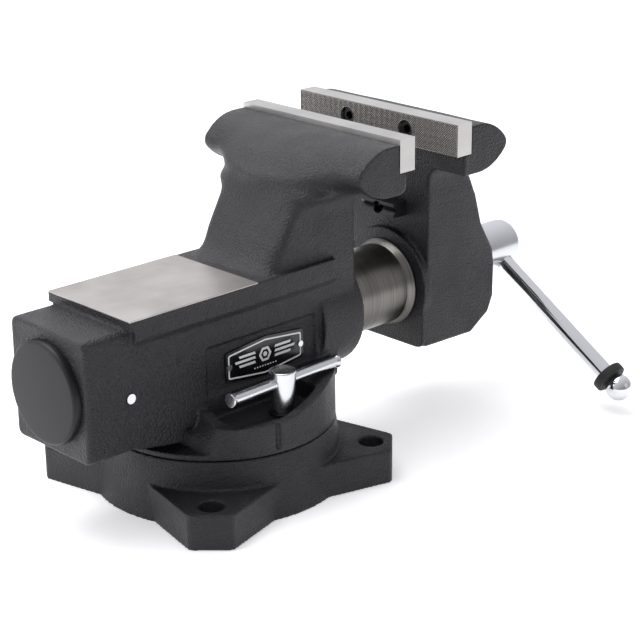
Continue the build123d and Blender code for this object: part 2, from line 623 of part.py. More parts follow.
with BuildPart() as dynamic_foot:
    with BuildSketch(Plane.XZ.offset(DYN_HALF)):
        with BuildLine():
            Polyline(
                (NECK_BACK, 55.8), (212, 54.5), (230.5, 66), (DYN_FRONT, 78), (DYN_FRONT, 104), (234, 115),
                (221.5, 136), (214.5, 160), (NECK_BACK, 160), close=True,
            )
        make_face()
    extrude(amount=-2 * DYN_HALF)
    rounded = [e for e in dynamic_foot.edges() if abs(e.center().Y) > DYN_HALF - 0.1 and e.center().Z < 159]
    fillet([e for e in rounded if e.center().X > NECK_BACK + 1], 3.0)

with BuildPart() as dynamic_jaw_casting:
    add(dynamic_foot.part)
    # round pad facing the body, squared off below the slide bar
    with BuildSketch(Plane.YZ.offset(DYN_BACK)):
        with Locations((0, AXIS_Z)):
            Circle(40.0)
        with Locations((0, (AXIS_Z + 55.8) / 2)):
            RectangleRounded(2 * DYN_HALF, AXIS_Z - 55.8, 6.0)
    extrude(amount=NECK_BACK - DYN_BACK + 2)
    loft(sections=[plan_section(z, NECK_BACK, front, half, 2.0, r) for z, front, half, r in NECK])
    loft(sections=jaw_bar_sections(DYNAMIC_SEAT_X, 1, DYNAMIC_HOOD, 1.5))
    bore_x(DYN_BACK - 1, 212.0, SLIDE_FIT_R + SEAT, Mode.SUBTRACT)
    bore_x(200.0, 216.0, SLIDE_BORE, Mode.SUBTRACT)
    bore_x(200.0, DYN_FRONT + 1, SCREW_R, Mode.SUBTRACT)
    seat_box(DYNAMIC_SEAT_X - 6, DYNAMIC_SEAT_X, JAW_WIDTH / 2 + 1, SEAT_Z, JAW_TOP + 5)
    seat_box(NECK_BACK - 6, NECK_BACK, PIPE_HALF + SEAT, PIPE_TOP - PIPE_H - SEAT, PIPE_TOP + 1)
    for y in (-SCREW_HOLE_Y, SCREW_HOLE_Y):
        bore_x(DYNAMIC_SEAT_X - 1, DYNAMIC_SEAT_X + 20, M8_R + SEAT, Mode.SUBTRACT, y, SCREW_Z)
    bore_x(NECK_BACK - 1, NECK_BACK + 16, M5_R + SEAT, Mode.SUBTRACT, 0, PIPE_Z)
dynamic_jaw_casting.part.label = "dynamic_jaw_casting"
export_step(dynamic_jaw_casting.part, "parts/dynamic_jaw_casting.step")

with BuildPart() as dynamic_jaw_insert:
    with Locations((DYNAMIC_SEAT_X - INSERT_T / 2, 0, SEAT_Z + INSERT_H / 2)):
        Box(INSERT_T, JAW_WIDTH, INSERT_H)
    chamfer(dynamic_jaw_insert.faces().sort_by(Axis.X)[0].edges(), 0.5)
    for y in (-SCREW_HOLE_Y, SCREW_HOLE_Y):
        bore_x(DYNAMIC_SEAT_X - INSERT_T - 1, DYNAMIC_SEAT_X + 1, M8_R + 0.4, Mode.SUBTRACT, y, SCREW_Z)
        bore_x(DYNAMIC_SEAT_X - INSERT_T - 1, DYNAMIC_SEAT_X - 5, M8_HEAD_R + 0.1, Mode.SUBTRACT, y, SCREW_Z)
dynamic_jaw_insert.part.label = "dynamic_jaw_insert"
export_step(dynamic_jaw_insert.part, "parts/dynamic_jaw_insert.step")

with BuildPart() as dynamic_jaw_screws:
    for y in (-SCREW_HOLE_Y, SCREW_HOLE_Y):
        cap_screw(DYNAMIC_SEAT_X - 5, -1, 24.0, M8_R, M8_HEAD_R, M8_HEAD_H - 1, y, SCREW_Z)
dynamic_jaw_screws.part.label = "dynamic_jaw_screws"
export_step(dynamic_jaw_screws.part, "parts/dynamic_jaw_screws.step")

with BuildPart() as dynamic_pipe_jaw:
    with BuildSketch(Plane.XZ.offset(PIPE_HALF)):
        with BuildLine():
            add(pipe_jaw_profile(NECK_BACK, -1))
        make_face()
    extrude(amount=-2 * PIPE_HALF)
    bore_x(NECK_BACK - 14, NECK_BACK + 1, M5_R + 0.3, Mode.SUBTRACT, 0, PIPE_Z)
    bore_x(NECK_BACK - 14, NECK_BACK - 3.5, M5_HEAD_R + 0.2, Mode.SUBTRACT, 0, PIPE_Z)
dynamic_pipe_jaw.part.label = "dynamic_pipe_jaw"
export_step(dynamic_pipe_jaw.part, "parts/dynamic_pipe_jaw.step")

with BuildPart() as dynamic_pipe_jaw_screw:
    cap_screw(NECK_BACK - 3.5, -1, 16.0, M5_R, M5_HEAD_R, 4.5, 0, PIPE_Z)
dynamic_pipe_jaw_screw.part.label = "dynamic_pipe_jaw_screw"
export_step(dynamic_pipe_jaw_screw.part, "parts/dynamic_pipe_jaw_screw.step")

with BuildPart() as slide_bar:
    bore_x(SLIDE_BACK, DYN_BACK, SLIDE_R)
    bore_x(DYN_BACK - 1, 212.0, SLIDE_FIT_R)
    with BuildSketch(Plane.XZ):
        with BuildLine():
            Polyline(
                (DYN_BACK - 6.2, AXIS_Z + 15), (DYN_BACK - 6.2, AXIS_Z + SLIDE_R), (DYN_BACK - 1.7, AXIS_Z + COLLAR_R),
                (DYN_BACK, AXIS_Z + COLLAR_R), (DYN_BACK, AXIS_Z + 15), close=True,
            )
        make_face()
    revolve(axis=SCREW_AXIS)
    bore_x(SLIDE_BACK - 1, 213.0, SLIDE_BORE, Mode.SUBTRACT)
    with Locations(((SLIDE_BACK - 1 + 134.0) / 2, 0, AXIS_Z - SLIDE_R)):
        Box(135.0 - SLIDE_BACK, 10.3, 2 * 5.2, mode=Mode.SUBTRACT)
slide_bar.part.label = "slide_bar"
export_step(slide_bar.part, "parts/slide_bar.step")

with BuildPart() as thrust_washer:
    bore_x(DYN_FRONT, DYN_FRONT + 2.5, 16.5)
    bore_x(DYN_FRONT - 1, DYN_FRONT + 3, SCREW_R, Mode.SUBTRACT)
thrust_washer.part.label = "thrust_washer"
export_step(thrust_washer.part, "parts/thrust_washer.step")

# ---------------------------------------------------------------- lead screw
HEAD_BACK = DYN_FRONT + 2.5 + GAP
COLLAR = (199.7, 215.7)
HANDLE_DIR = (0, -cos(radians(HANDLE_TILT)), -sin(radians(HANDLE_TILT)))
HANDLE_HUB = (HANDLE_X, 0, AXIS_Z)
with BuildPart() as lead_screw:
    bore_x(-82.0, HEAD_BACK + 1, SCREW_R - FIT)
    with BuildSketch(Plane.XZ):
        with BuildLine():
            Polyline(
                (HEAD_BACK, AXIS_Z), (HEAD_BACK, AXIS_Z + HEAD_R - 1.2), (HEAD_BACK + 1.2, AXIS_Z + HEAD_R),
                (HEAD_FRONT - 5, AXIS_Z + HEAD_R),
            )
            ThreePointArc(
                (HEAD_FRONT - 5, AXIS_Z + HEAD_R), (HEAD_FRONT - 1.5, AXIS_Z + HEAD_R - 1.5),
                (HEAD_FRONT, AXIS_Z + HEAD_R - 5),
            )
            Polyline((HEAD_FRONT, AXIS_Z + HEAD_R - 5), (HEAD_FRONT, AXIS_Z), (HEAD_BACK, AXIS_Z))
        make_face()
    revolve(axis=SCREW_AXIS)
    rod(HANDLE_HUB, HANDLE_DIR, -30, 30, HANDLE_R + FIT, mode=Mode.SUBTRACT)
lead_screw.part.label = "lead_screw"
export_step(lead_screw.part, "parts/lead_screw.step")

with BuildPart() as thrust_collar:
    bore_x(COLLAR[0], COLLAR[1], SLIDE_BORE - 0.5)
    bore_x(COLLAR[0] - 1, COLLAR[1] + 1, SCREW_R - FIT, Mode.SUBTRACT)
thrust_collar.part.label = "thrust_collar"
export_step(thrust_collar.part, "parts/thrust_collar.step")

# ---------------------------------------------------------------- sliding handle
FAR_REACH = -48.5


def along_handle(distance):
    """Point on the handle at a distance from the screw axis; positive is towards the outer ball."""
    return (HANDLE_X, distance * HANDLE_DIR[1], AXIS_Z + distance * HANDLE_DIR[2])


with BuildPart() as handle_bar:
    rod(HANDLE_HUB, HANDLE_DIR, FAR_REACH - 4, HANDLE_REACH + 4, HANDLE_R)
handle_bar.part.label = "handle_bar"
export_step(handle_bar.part, "parts/handle_bar.step")

with BuildPart() as handle_balls:
    with Locations(along_handle(HANDLE_REACH), along_handle(FAR_REACH)):
        Sphere(BALL_R)
    rod(HANDLE_HUB, HANDLE_DIR, FAR_REACH - 4, HANDLE_REACH + 4, HANDLE_R, mode=Mode.SUBTRACT)
handle_balls.part.label = "handle_balls"
export_step(handle_balls.part, "parts/handle_balls.step")

with BuildPart() as handle_rings:
    for centre in (HANDLE_REACH - RING_OFFSET, FAR_REACH + RING_OFFSET):
        rod(HANDLE_HUB, HANDLE_DIR, centre - RING_T / 2, centre + RING_T / 2, RING_R)
    rod(HANDLE_HUB, HANDLE_DIR, FAR_REACH, HANDLE_REACH, HANDLE_R, mode=Mode.SUBTRACT)
handle_rings.part.label = "handle_rings"
export_step(handle_rings.part, "parts/handle_rings.step")
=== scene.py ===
import math

import bmesh
import bpy
import numpy as np
from mathutils import Matrix, Vector, noise


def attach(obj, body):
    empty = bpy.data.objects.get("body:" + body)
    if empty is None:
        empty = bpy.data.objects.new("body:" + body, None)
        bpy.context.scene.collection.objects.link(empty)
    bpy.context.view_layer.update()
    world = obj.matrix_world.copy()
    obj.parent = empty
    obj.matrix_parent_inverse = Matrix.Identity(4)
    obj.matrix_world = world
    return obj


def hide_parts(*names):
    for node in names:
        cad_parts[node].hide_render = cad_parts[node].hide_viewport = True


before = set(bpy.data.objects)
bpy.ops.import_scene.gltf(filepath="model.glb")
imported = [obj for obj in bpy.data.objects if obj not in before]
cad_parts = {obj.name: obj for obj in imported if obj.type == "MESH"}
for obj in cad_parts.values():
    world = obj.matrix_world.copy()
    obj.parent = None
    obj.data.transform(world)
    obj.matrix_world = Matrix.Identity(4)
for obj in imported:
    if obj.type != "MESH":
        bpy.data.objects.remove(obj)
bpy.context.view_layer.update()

MM = 0.001
AXIS_Z = 0.0983                                   # height of the screw axis
SCREW_AXIS = ((0.0, 0.0, AXIS_Z), (1.0, 0.0, 0.0))


# ---------------------------------------------------------------- materials
def material(name, color, metallic=0.0, roughness=0.5, specular=0.5):
    """New principled material; returns it with its node tree's shader."""
    mat = bpy.data.materials.new(name)
    mat.use_nodes = True
    shader = mat.node_tree.nodes["Principled BSDF"]
    shader.inputs["Base Color"].default_value = (*color, 1.0)
    shader.inputs["Metallic"].default_value = metallic
    shader.inputs["Roughness"].default_value = roughness
    shader.inputs["Specular IOR Level"].default_value = specular
    return mat, shader


def node(mat, kind, **inputs):
    """Add a node and set its sockets by name."""
    made = mat.node_tree.nodes.new(kind)
    for key, value in inputs.items():
        made.inputs[key].default_value = value
    return made


def link(mat, source, target):
    """Join an output to a socket."""
    mat.node_tree.links.new(source, target)


def object_coords(mat, stretch=(1.0, 1.0, 1.0)):
    """Object coordinates in metres, stretched per axis."""
    coords = node(mat, "ShaderNodeTexCoord")
    mapping = node(mat, "ShaderNodeMapping", Scale=stretch)
    link(mat, coords.outputs["Object"], mapping.inputs["Vector"])
    return mapping.outputs["Vector"]


def add_bump(mat, shader, height, strength, distance, below=None):
    """Bump from a height output; below chains an earlier bump."""
    bump = node(mat, "ShaderNodeBump", Strength=strength, Distance=distance)
    link(mat, height, bump.inputs["Height"])
    if below is not None:
        link(mat, below.outputs["Normal"], bump.inputs["Normal"])
    link(mat, bump.outputs["Normal"], shader.inputs["Normal"])
    return bump


def ramp(mat, source, stops):
    """Colour ramp fed by source."""
    made = node(mat, "ShaderNodeValToRGB")
    link(mat, source, made.inputs["Fac"])
    elements = made.color_ramp.elements
    while len(elements) < len(stops):
        elements.new(0.5)
    for element, (position, value) in zip(elements, stops):
        element.position = position
        element.color = value if len(value) == 4 else (*value, 1.0)
    return made.outputs["Color"]


def noise_out(mat, coords, scale, detail=2.0, roughness=0.5):
    """Noise value over the given coordinates."""
    made = node(mat, "ShaderNodeTexNoise", Scale=scale, Detail=detail, Roughness=roughness)
    link(mat, coords, made.inputs["Vector"])
    return made.outputs["Fac"]


def calc(mat, operation, first, second, third=None):
    """Result of a math node; each value is an output or a number."""
    made = node(mat, "ShaderNodeMath")
    made.operation = operation
    for socket, value in zip(made.inputs, (first, second, third)):
        if isinstance(value, (int, float)):
            socket.default_value = value
        elif value is not None:
            link(mat, value, socket)
    return made.outputs[0]


def grey(value):
    """Colour with three equal channels."""
    return (value, value, value)


def cast_paint(name, color, roughness, peel):
    """Satin paint over a sand casting: fine pebbles on top of a soft unevenness."""
    mat, shader = material(name, color, roughness=roughness, specular=0.42)
    coords = object_coords(mat)
    wide = add_bump(mat, shader, noise_out(mat, coords, 170.0, 2.0), 0.22, 0.0012)
    add_bump(mat, shader, noise_out(mat, coords, 760.0, 2.0, 0.5), peel, 0.0017, below=wide)
    patches = ramp(mat, noise_out(mat, coords, 45.0, 3.0),
                   [(0.3, grey(roughness - 0.06)), (0.7, grey(roughness + 0.08))])
    link(mat, patches, shader.inputs["Roughness"])
    return mat


paint = cast_paint("cast_black_paint", (0.0110, 0.0103, 0.0128), 0.40, 0.75)
base_paint = cast_paint("base_black_paint", (0.0075, 0.0069, 0.0088), 0.45, 0.7)

cap_black, _ = material("cap_black", (0.007, 0.007, 0.008), roughness=0.45, specular=0.3)
plate_black, _ = material("plate_black", (0.006, 0.006, 0.006), roughness=0.16, specular=0.5)
plate_white, _ = material("plate_white", (0.82, 0.82, 0.82), roughness=0.4)
rubber, _ = material("ring_rubber", (0.012, 0.012, 0.012), roughness=0.6, specular=0.4)
dark_steel, _ = material("dark_steel", (0.05, 0.05, 0.05), metallic=1.0, roughness=0.45)
chrome, _ = material("chrome", (0.68, 0.69, 0.70), metallic=1.0, roughness=0.06)

zinc, zinc_shader = material("zinc_plate", (0.64, 0.65, 0.67), metallic=1.0, roughness=0.22)
zinc_patches = noise_out(zinc, object_coords(zinc), 60.0, 2.0)
link(zinc, ramp(zinc, zinc_patches, [(0.3, grey(0.2)), (0.75, grey(0.27))]), zinc_shader.inputs["Roughness"])


def ground_steel(name, light, dark, stretch, roughness):
    """Ground steel with grinding lines across the stretched axis and soft tarnish."""
    mat, shader = material(name, light, metallic=1.0, roughness=roughness)
    line_share = 0.25
    lines = noise_out(mat, object_coords(mat, stretch), 60.0, 3.0, 0.6)
    clouds = noise_out(mat, object_coords(mat), 16.0, 3.0, 0.6)
    mixed = calc(mat, "MULTIPLY_ADD", lines, line_share, calc(mat, "MULTIPLY", clouds, 1.0 - line_share))
    link(mat, ramp(mat, mixed, [(0.36, dark), (0.62, light)]), shader.inputs["Base Color"])
    add_bump(mat, shader, lines, 0.12, 0.0002)
    return mat


anvil_steel = ground_steel("anvil_steel", (0.50, 0.475, 0.45), (0.36, 0.34, 0.32), (1.0, 26.0, 1.0), 0.38)
jaw_steel = ground_steel("jaw_steel", (0.56, 0.55, 0.53), (0.42, 0.41, 0.40), (26.0, 1.0, 26.0), 0.34)

PITCH = 1.7                   # across the diamonds of the jaw faces, millimetres


def serrated_steel():
    """Steel with painted shade in the grooves along both diagonals of the jaw face, in step with the cut
    serrations.
    """
    mat, shader = material("jaw_teeth", (0.24, 0.225, 0.21), metallic=1.0, roughness=0.42)
    parts = node(mat, "ShaderNodeSeparateXYZ")
    link(mat, object_coords(mat), parts.inputs["Vector"])
    folded = []
    for operation in ("ADD", "SUBTRACT"):
        diagonal = calc(mat, operation, parts.outputs["Y"], parts.outputs["Z"])
        folded.append(calc(mat, "PINGPONG", calc(mat, "DIVIDE", diagonal, PITCH * MM), 0.5))
    nearest = calc(mat, "MINIMUM", *folded)
    # painted shade: the base colour goes dark along the groove centres, where shade falls between the
    # diamonds
    link(mat, ramp(mat, nearest, [(0.05, (0.05, 0.047, 0.044)), (0.2, (0.30, 0.285, 0.27))]),
         shader.inputs["Base Color"])
    return mat


jaw_teeth = serrated_steel()
turned_steel, turned_shader = material("turned_steel", (0.40, 0.385, 0.365), metallic=1.0, roughness=0.30)
turned_lines = noise_out(turned_steel, object_coords(turned_steel, (30.0, 0.6, 0.6)), 34.0, 4.0, 0.7)
add_bump(turned_steel, turned_shader, turned_lines, 0.35, 0.0004)
turned_color = ramp(turned_steel, turned_lines, [(0.3, (0.12, 0.113, 0.104)), (0.7, (0.22, 0.21, 0.195))])
link(turned_steel, turned_color, turned_shader.inputs["Base Color"])


# ---------------------------------------------------------------- mesh helpers
def place(name, mesh, body, mats, replaced=()):
    """Link a finished mesh as a piece that rides on a body."""
    piece = bpy.data.objects.new(name, mesh)
    bpy.context.scene.collection.objects.link(piece)
    for mat in mats:
        mesh.materials.append(mat)
    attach(piece, body)
    if replaced:
        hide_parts(*replaced)
    return piece


def smooth_by_angle(mesh, degrees=32.0):
    """Smooth shading with sharp edges above an angle."""
    shape = bmesh.new()
    shape.from_mesh(mesh)
    for face in shape.faces:
        face.smooth = True
    for edge in shape.edges:
        if len(edge.link_faces) == 2:
            edge.smooth = edge.calc_face_angle(0.0) < math.radians(degrees)
        else:
            edge.smooth = False
    shape.to_mesh(mesh)
    shape.free()


def frame_along(origin, direction):
    """Matrix whose local X runs along direction from origin."""
    along = Vector(direction).normalized()
    side = Vector((0, 0, 1)).cross(along)
    if side.length < 1e-6:
        side = Vector((0, 1, 0))
    side.normalize()
    up = along.cross(side)
    turn = Matrix((along, side, up)).transposed().to_4x4()
    return Matrix.Translation(Vector(origin)) @ turn


def rounded(points, radius, steps=4):
    """Round the inner corners of a (distance, radius) profile; radius may be one number or one per corner."""
    out = [points[0]]
    for i in range(1, len(points) - 1):
        before, corner, after = (Vector(points[i + k]) for k in (-1, 0, 1))
        r = radius[i - 1] if isinstance(radius, (list, tuple)) else radius
        into, away = before - corner, after - corner
        reach = min(r, into.length * 0.49, away.length * 0.49)
        if reach <= 1e-7:
            out.append(tuple(corner))
            continue
        start = corner + into.normalized() * reach
        end = corner + away.normalized() * reach
        for k in range(steps + 1):
            t = k / steps
            out.append(tuple(start.lerp(corner, t).lerp(corner.lerp(end, t), t)))
    out.append(points[-1])
    return out


def lathe(profile, origin, direction, segments=96, closed=False):
    """Mesh turned about a line from (distance, radius) points in millimetres."""
    shape = bmesh.new()
    rings = []
    for distance, r in profile:
        if r < 1e-6:
            rings.append([shape.verts.new((distance * MM, 0, 0))])
        else:
            rings.append([
                shape.verts.new((distance * MM, r * MM * math.cos(a), r * MM * math.sin(a)))
                for a in (2 * math.pi * k / segments for k in range(segments))
            ])
    pairs = list(zip(rings, rings[1:]))
    if closed:
        pairs.append((rings[-1], rings[0]))
    for first, second in pairs:
        if len(first) == 1 and len(second) == 1:
            continue
        for k in range(segments):
            n = (k + 1) % segments
            if len(first) == 1:
                shape.faces.new((first[0], second[n], second[k]))
            elif len(second) == 1:
                shape.faces.new((first[k], first[n], second[0]))
            else:
                shape.faces.new((first[k], first[n], second[n], second[k]))
    bmesh.ops.recalc_face_normals(shape, faces=shape.faces)
    shape.transform(frame_along(origin, direction))
    mesh = bpy.data.meshes.new("turned")
    shape.to_mesh(mesh)
    shape.free()
    smooth_by_angle(mesh)
    return mesh


def join_meshes(meshes):
    """One mesh from several."""
    shape = bmesh.new()
    for part in meshes:
        shape.from_mesh(part)
    mesh = bpy.data.meshes.new("joined")
    shape.to_mesh(mesh)
    shape.free()
    return mesh


def evaluated_mesh(obj):
    """A new mesh with the object's modifiers applied."""
    graph = bpy.context.evaluated_depsgraph_get()
    return bpy.data.meshes.new_from_object(obj.evaluated_get(graph))


VOXEL = 0.0009
ROUNDS = 2                    # passes that round every edge of a casting
BLEND_BORDER = 8.0            # distance over which extra smoothing fades in, millimetres
UNEVEN_SCALE = 55.0           # foundry unevenness, per metre


def cast_mesh(node_name, wobble, blend=None):
    """A casting's soft skin: the CAD solid remeshed, its edges rounded, with a slight foundry unevenness.

    blend is (x limits, half width, z limits, reach) in millimetres: a region smoothed that much further.
    """
    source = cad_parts[node_name]
    temp = bpy.data.objects.new("cast_temp", source.data.copy())
    bpy.context.scene.collection.objects.link(temp)
    remesh = temp.modifiers.new("remesh", "REMESH")
    remesh.mode = "VOXEL"
    remesh.voxel_size = VOXEL
    mesh = evaluated_mesh(temp)
    bpy.data.objects.remove(temp)
    mesh.materials.clear()
    count = len(mesh.vertices)
    co = np.empty(count * 3)
    mesh.vertices.foreach_get("co", co)
    co = co.reshape(-1, 3)
    edges = np.empty(len(mesh.edges) * 2, dtype=np.int64)
    mesh.edges.foreach_get("vertices", edges)
    a, b = edges.reshape(-1, 2).T
    degree = np.bincount(a, minlength=count) + np.bincount(b, minlength=count)
    extra = 0
    if blend:
        (x_low, x_high), half, (z_low, z_high), reach = blend
        inside = np.minimum.reduce([
            co[:, 0] / MM - x_low, x_high - co[:, 0] / MM, half - np.abs(co[:, 1]) / MM,
            co[:, 2] / MM - z_low, z_high - co[:, 2] / MM,
        ])
        weight = np.clip(inside / BLEND_BORDER, 0.0, 1.0)
        extra = int((reach * MM / VOXEL) ** 2)
    for step in range(ROUNDS + extra):
        share = 0.5 if step < ROUNDS else 0.5 * weight[:, None]
        total = np.empty_like(co)
        for axis in range(3):
            total[:, axis] = (
                np.bincount(a, co[b, axis], count) + np.bincount(b, co[a, axis], count)
            )
        co += share * (total / degree[:, None] - co)
    mesh.vertices.foreach_set("co", co.ravel())
    mesh.update()
    # the unevenness only goes inwards, so the skin stays within the solid
    normals = np.empty(count * 3)
    mesh.vertices.foreach_get("normal", normals)
    normals = normals.reshape(-1, 3)
    lift = np.array([noise.noise(Vector(p) * UNEVEN_SCALE) for p in co])
    co -= normals * (wobble * (0.5 + 0.5 * lift))[:, None]
    mesh.vertices.foreach_set("co", co.ravel())
    mesh.update()
    mesh.polygons.foreach_set("use_smooth", np.ones(len(mesh.polygons), dtype=bool))
    return mesh


# ---------------------------------------------------------------- castings
place("swivel_base_skin", cast_mesh("base_casting", 0.0002), "base", [base_paint],
      ["base_casting"])
place("static_jaw_skin", cast_mesh("static_jaw_casting", 0.00025, ((20, 80), 66, (178, 216), 7)),
      "vise_body", [paint], ["static_jaw_casting"])
place("dynamic_jaw_skin", cast_mesh("dynamic_jaw_casting", 0.00025, ((165, 216), 66, (178, 216), 5)),
      "dynamic_jaw", [paint], ["dynamic_jaw_casting"])


# ---------------------------------------------------------------- ground anvil top
def box_mesh(low, high, bevel=0.0, segments=2):
    """Box between two corners in millimetres, with rounded edges."""
    shape = bmesh.new()
    bmesh.ops.create_cube(shape, size=1.0)
    size = [(h - l) * MM for l, h in zip(low, high)]
    middle = [(h + l) / 2 * MM for l, h in zip(low, high)]
    bmesh.ops.scale(shape, vec=size, verts=shape.verts)
    bmesh.ops.translate(shape, vec=middle, verts=shape.verts)
    if bevel:
        bmesh.ops.bevel(shape, geom=shape.edges, offset=bevel * MM, segments=segments, affect="EDGES",
                        profile=0.5)
    mesh = bpy.data.meshes.new("box")
    shape.to_mesh(mesh)
    shape.free()
    smooth_by_angle(mesh)
    return mesh


place("anvil_top", box_mesh((-102.6, -41.5, 144.6), (1.5, 41.5, 145.55), 0.25, 1), "vise_body", [anvil_steel])


# ---------------------------------------------------------------- turned pieces
def cut_hole(mesh, origin, direction, radius, reach):
    """Drill through a mesh along direction."""
    drill = lathe([(-reach, 0), (-reach, radius), (reach, radius), (reach, 0)], origin, direction, 64)
    body = bpy.data.objects.new("cut_body", mesh)
    tool = bpy.data.objects.new("cut_tool", drill)
    for obj in (body, tool):
        bpy.context.scene.collection.objects.link(obj)
    boolean = body.modifiers.new("cut", "BOOLEAN")
    boolean.object = tool
    boolean.solver = "EXACT"
    result = evaluated_mesh(body)
    for obj in (body, tool):
        bpy.data.objects.remove(obj)
    smooth_by_angle(result)
    return result


CAP = rounded([(-141.7, 0), (-141.4, 15), (-140.7, 33.5), (-135.2, 33.5)], [8.0, 4.2], 8)
CAP += [(-135.2, 30.9), (-125.3, 30.9), (-125.3, 0)]
place("end_cap_turned", lathe(CAP, *SCREW_AXIS, 128), "vise_body", [cap_black], ["end_cap"])

BAR = rounded([(-53.5, 20.0), (-53.5, 28.9), (152.9, 28.9), (157.4, 32.0), (159.0, 32.0), (159.0, 30.0),
               (212.0, 30.0), (212.0, 20.0), (-53.5, 20.0)], 0.4, 3)
place("slide_bar_turned", lathe(BAR, *SCREW_AXIS, 160), "dynamic_jaw", [turned_steel],
      ["slide_bar"])

LEAD_SCREW = rounded([(-82.0, 0.0), (-82.0, 13.9), (238.8, 13.9), (238.8, 18.3), (289.5, 18.3),
                      (289.5, 0.0)],
                     [2.0, 0.1, 1.5, 5.0], 8)
HANDLE_HUB = (0.274, 0.0, AXIS_Z)
HANDLE_R = 6.35
HANDLE_ENDS = (-52.5, 153.0)
BALLS = (149.0, -48.5)
RINGS = (138.1, -37.6)
TILT = math.radians(32.2)             # of the handle below level
HANDLE_DIR = (0.0, -math.cos(TILT), -math.sin(TILT))
place("lead_screw_turned", cut_hole(lathe(LEAD_SCREW, *SCREW_AXIS, 128), HANDLE_HUB, HANDLE_DIR, 6.45, 30),
      "screw", [zinc], ["lead_screw"])

far_end, near_end = HANDLE_ENDS
handle_bar = [(far_end, 0), (far_end, HANDLE_R), (near_end, HANDLE_R), (near_end, 0)]
place("handle_bar_turned", lathe(handle_bar, HANDLE_HUB, HANDLE_DIR, 64), "handle", [chrome],
      ["handle_bar"])


def ball(centre, radius=9.8, steps=28):
    """Profile of a sphere on the handle."""
    return [(centre - radius * math.cos(math.pi * k / steps), radius * math.sin(math.pi * k / steps))
            for k in range(steps + 1)]


place("handle_balls_turned",
      join_meshes([lathe(ball(c), HANDLE_HUB, HANDLE_DIR, 64) for c in BALLS]),
      "handle", [chrome], ["handle_balls"])


def ring(centre):
    """Profile of a rubber ring on the handle."""
    low, high = centre - 3.3, centre + 3.3
    return rounded([(low, HANDLE_R), (low, 12.2), (high, 12.2), (high, HANDLE_R)], 1.6, 6)


place("handle_rings_turned",
      join_meshes([lathe(ring(c), HANDLE_HUB, HANDLE_DIR, 72, closed=True) for c in RINGS]),
      "handle", [rubber], ["handle_rings"])

LOCK_X = 0.0034
LOCK_Y = 0.061
LOCK_BAR_Z = 0.0829
LOCK_TILT = math.radians(1.4)
for side, word in ((-1, "near"), (1, "far")):
    foot = (LOCK_X, side * LOCK_Y, 0.0)
    pivot = (LOCK_X, side * LOCK_Y, LOCK_BAR_Z)
    along = (math.cos(LOCK_TILT), -side * math.sin(LOCK_TILT), 0.0)
    bolt = rounded([(63.3, 5.95), (63.3, 7.2), (90.8, 9.0), (90.8, 0.0)], [0.3, 1.2], 5)
    bolt = [(20.6, 0.0), (20.6, 5.95)] + bolt
    place("lock_bolt_turned_" + word, cut_hole(lathe(bolt, foot, (0, 0, 1), 64), pivot, along, 3.7, 15),
          "lock_bolt_" + word, [zinc], ["lock_bolt_" + word])
    rod = [(-46.2, 0), (-46.2, 4.7), (-45.2, 4.7), (-43.0, 3.6),
           (46.6, 3.6), (48.8, 4.7), (49.8, 4.7), (49.8, 0)]
    place("lock_bar_turned_" + word, lathe(rounded(rod, 0.5, 3), pivot, along, 48),
          "lock_bar_" + word, [zinc], ["lock_bar_" + word])

WASHER = rounded([(61.0, 6.3), (61.0, 9.5), (63.0, 9.5), (63.0, 6.3)], 0.4, 3)
washers = [lathe(WASHER, (LOCK_X, y, 0), (0, 0, 1), 64, closed=True) for y in (-LOCK_Y, LOCK_Y)]
place("lock_washers_turned", join_meshes(washers), "vise_body", [dark_steel], ["lock_washers"])

# ---------------------------------------------------------------- serrated jaw faces
JAW_HALF = 76.2
SEAT_Z = 205.3
JAW_TOP = 227.6
HOLES = ((-28.0, 216.4), (28.0, 216.4))
HOLE_R = 6.5
SCREW_SEAT = 5.0              # from the back of the insert to the floor of a counterbore
EDGE = 0.8                    # plain border round the serrations
CHAMFER = 0.45
DEPTH = 0.42                  # of the grooves between the diamonds
SLOPE = 1.6                   # how fast a groove's side rises to the flat top


def cap_rings(shape, made, verts):
    """Close the rings of edges that run between the given extruded vertices."""
    rings = [e for e in made["geom"]
             if isinstance(e, bmesh.types.BMEdge) and all(v in verts for v in e.verts)]
    for face in bmesh.ops.holes_fill(shape, edges=rings)["faces"]:
        face.material_index = 0


